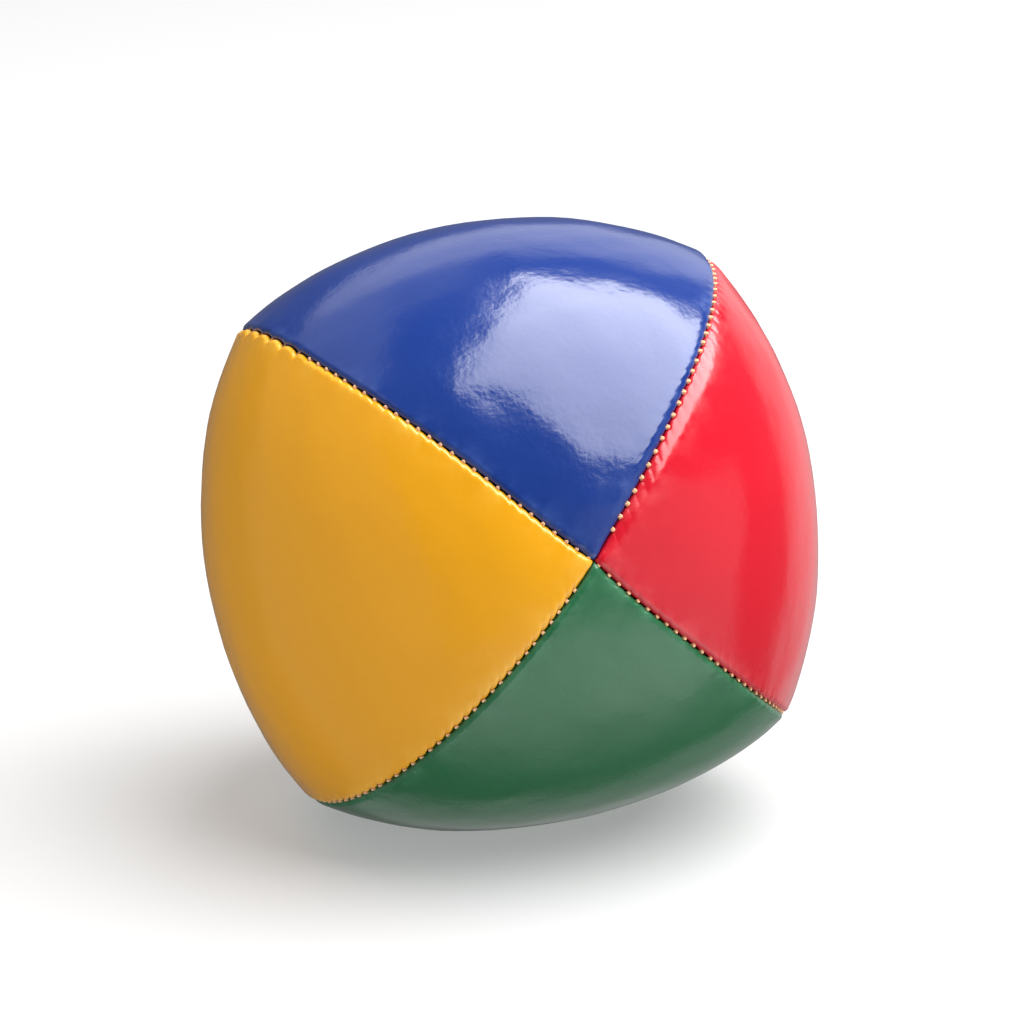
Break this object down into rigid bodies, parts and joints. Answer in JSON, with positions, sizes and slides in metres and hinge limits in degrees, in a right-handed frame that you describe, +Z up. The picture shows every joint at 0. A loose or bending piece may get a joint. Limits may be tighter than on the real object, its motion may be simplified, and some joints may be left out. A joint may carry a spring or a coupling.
{
  "type": "juggling ball",
  "caption": "Pellet-filled beanbag juggling ball: glossy synthetic leather panels in blue, red, green and yellow, sewn edge to edge with turned-in seams.",
  "frame": {"origin": "centre of the ball's bounding box at its base, on the surface that the ball rests on", "axes": "+Z up, as the ball rests on its green panel; the front pole, where the panels' tips meet, points along -Y and a little up; the red panel faces +X, the yellow panel -X and the blue panel +Z"},
  "size_m": [0.0622, 0.062, 0.0611],
  "materials": {
    "blue_leather": "glossy polyurethane-coated synthetic leather with a fine grain",
    "red_leather": "glossy polyurethane-coated synthetic leather with a fine grain",
    "green_leather": "glossy polyurethane-coated synthetic leather with a fine grain",
    "yellow_leather": "glossy polyurethane-coated synthetic leather with a fine grain",
    "sewing_thread": "twisted polyester sewing thread",
    "closing_thread": "twisted polyester sewing thread, hand sewn",
    "pellets": "loose plastic granulate"
  },
  "bodies": {
    "root": {"blue_panel": "blue_leather", "red_panel": "red_leather", "green_panel": "green_leather", "yellow_panel": "yellow_leather", "blue_red_needle_thread": "sewing_thread", "blue_red_bobbin_thread": "sewing_thread", "yellow_green_needle_thread": "sewing_thread", "yellow_green_bobbin_thread": "sewing_thread", "joining_seam_needle_thread": "sewing_thread", "joining_seam_bobbin_thread": "sewing_thread", "closing_thread": "closing_thread", "pellet_fill": "pellets"}
  },
  "joints": []
}
